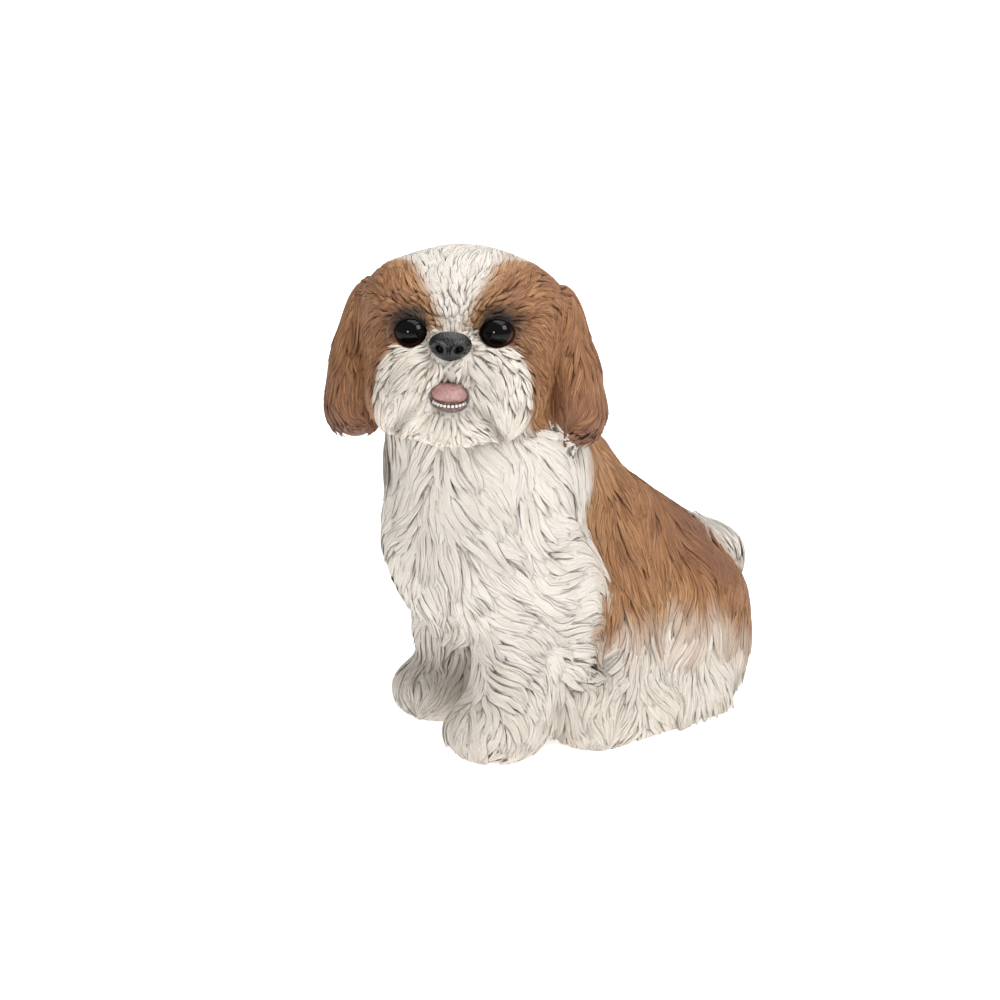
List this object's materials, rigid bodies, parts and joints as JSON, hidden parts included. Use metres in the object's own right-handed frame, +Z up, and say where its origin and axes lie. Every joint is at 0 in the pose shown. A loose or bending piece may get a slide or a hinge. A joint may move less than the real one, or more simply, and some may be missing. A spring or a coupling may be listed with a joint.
{
  "type": "sitting shih tzu puppy statue",
  "caption": "Sitting shih tzu puppy statue with a carved long coat, drop ears, an open mouth and glossy set-in eyes, for a garden, shelf or floor.",
  "frame": {"origin": "under the middle of the statue's box, on the plane that it stands on", "axes": "+Z up, -Y the way the body faces, +X the dog's left; the head is turned about 45 degrees to the dog's left"},
  "size_m": [0.1524, 0.28, 0.2646],
  "materials": {
    "white_coat": "cast resin, painted warm off-white with a grey-beige wash in the carved strands, matt",
    "brown_coat": "cast resin, painted ginger brown with darker strokes along the carved strands, matt",
    "eye_glass": "glossy black set-in eye with a dark brown rim",
    "nose_leather": "painted black, satin, with a pebbled surface",
    "tongue_pink": "painted pink, satin",
    "tooth_ivory": "painted ivory, semi-gloss"
  },
  "bodies": {
    "root": {"head": "white_coat", "neck": "white_coat", "chest": "white_coat", "torso": "brown_coat", "tail": "white_coat", "foreleg_left": "white_coat", "foreleg_right": "white_coat", "hindleg_left": "white_coat", "hindleg_right": "white_coat", "ear_left": "brown_coat", "ear_right": "brown_coat", "eye_left": "eye_glass", "eye_right": "eye_glass", "nose": "nose_leather", "tongue": "tongue_pink", "lower_teeth": "tooth_ivory"}
  },
  "joints": []
}
